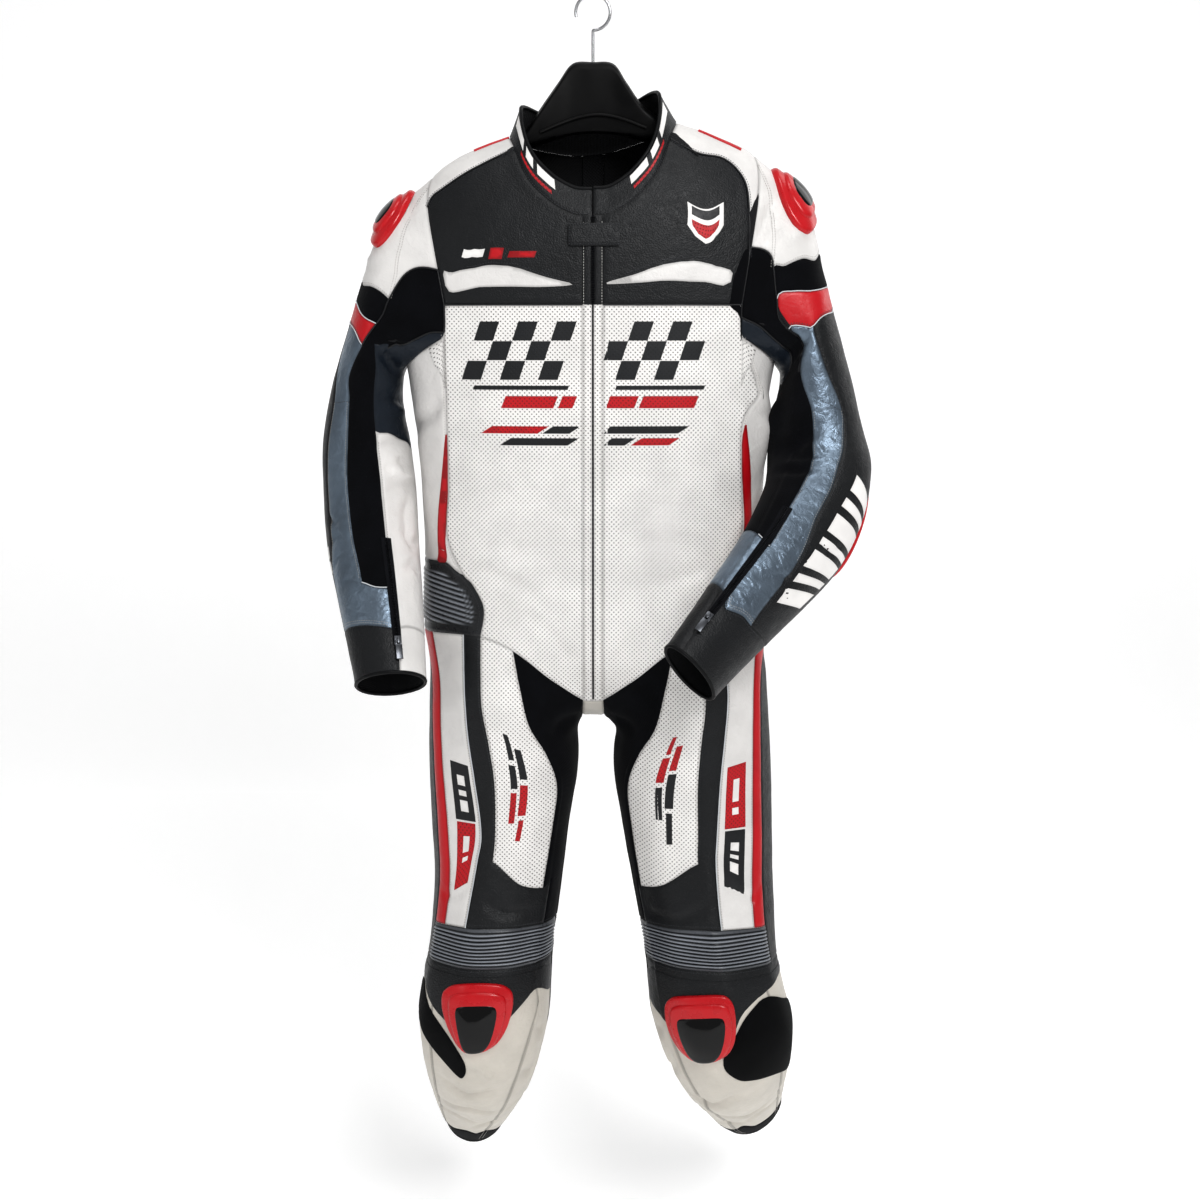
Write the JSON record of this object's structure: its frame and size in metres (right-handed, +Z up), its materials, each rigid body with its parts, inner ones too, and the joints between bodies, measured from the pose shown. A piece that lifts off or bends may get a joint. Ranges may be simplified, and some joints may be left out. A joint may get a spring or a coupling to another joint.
{
  "type": "motorcycle race suit on a hanger",
  "caption": "One-piece leather motorcycle race suit with stretch panels, ribbed waist and knees, moulded cups and perforated front, hung on a broad hanger.",
  "frame": {"origin": "inside of the hanger hook's crown, where the suit hangs", "axes": "+Z up; the suit's front faces -Y; +X is the wearer's left"},
  "size_m": [0.7193, 0.4614, 1.6083],
  "materials": {
    "black_leather": "fine grain, soft sheen",
    "white_leather": "smooth, perforated in front",
    "black_stretch": "matt stretch weave",
    "navy_leather": "smooth",
    "red_leather": "smooth",
    "grey_leather": "metallic, creased",
    "red_plastic": "moulded, glossy",
    "dark_metal": "darkened",
    "black_plastic": "moulded, satin"
  },
  "bodies": {
    "suit": {"back": "white_leather", "back_yoke": "black_leather", "calf_left": "black_leather", "calf_right": "black_leather", "collar": "black_leather", "cuff_left": "black_leather", "cuff_right": "black_leather", "elbow_cup_left": "red_plastic", "elbow_cup_right": "red_plastic", "flash_left": "white_leather", "flash_right": "white_leather", "front_left": "white_leather", "front_right": "white_leather", "front_zip": "black_leather", "gusset": "white_leather", "hanger": "black_plastic", "hip_ribs_left": "black_leather", "hip_ribs_right": "black_leather", "knee_cup_left": "red_plastic", "knee_cup_right": "red_plastic", "knee_ribs_left": "black_leather", "knee_ribs_right": "black_leather", "neck_tab": "black_leather", "shin_left": "white_leather", "shin_right": "white_leather", "shoulder_cup_left": "red_plastic", "shoulder_cup_right": "red_plastic", "shoulder_left": "white_leather", "shoulder_right": "white_leather", "side_left": "white_leather", "side_right": "white_leather", "sleeve_band_left": "red_leather", "sleeve_band_right": "red_leather", "sleeve_cap_left": "white_leather", "sleeve_cap_right": "white_leather", "sleeve_outer_left": "black_leather", "sleeve_outer_right": "black_leather", "sleeve_stretch_left": "black_stretch", "sleeve_stretch_right": "black_stretch", "sleeve_strip_left": "grey_leather", "sleeve_strip_right": "grey_leather", "sleeve_under_left": "navy_leather", "sleeve_under_right": "navy_leather", "thigh_back_left": "black_leather", "thigh_back_right": "black_leather", "thigh_front_left": "white_leather", "thigh_front_right": "white_leather", "thigh_inner_left": "black_stretch", "thigh_inner_right": "black_stretch", "thigh_side_left": "black_leather", "thigh_side_right": "black_leather", "thigh_stripe_left": "white_leather", "thigh_stripe_right": "white_leather", "wrist_zip_left": "black_stretch", "wrist_zip_right": "black_stretch", "yoke_left": "black_leather", "yoke_right": "black_leather"},
    "pull_right": {"pull_right": "dark_metal"},
    "pull_left": {"pull_left": "dark_metal"}
  },
  "joints": [
    {"name": "zip_pull_right", "type": "hinge", "parent": "suit", "child": "pull_right", "pos_m": [-0.24258, -0.173, -0.80311], "axis": [-0.9473, -0.3183, 0.0359], "range_deg": [0, 110]},
    {"name": "zip_pull_left", "type": "hinge", "parent": "suit", "child": "pull_left", "pos_m": [0.13821, -0.25911, -0.75799], "axis": [-0.8199, 0.2826, 0.4978], "range_deg": [0, 110]}
  ]
}
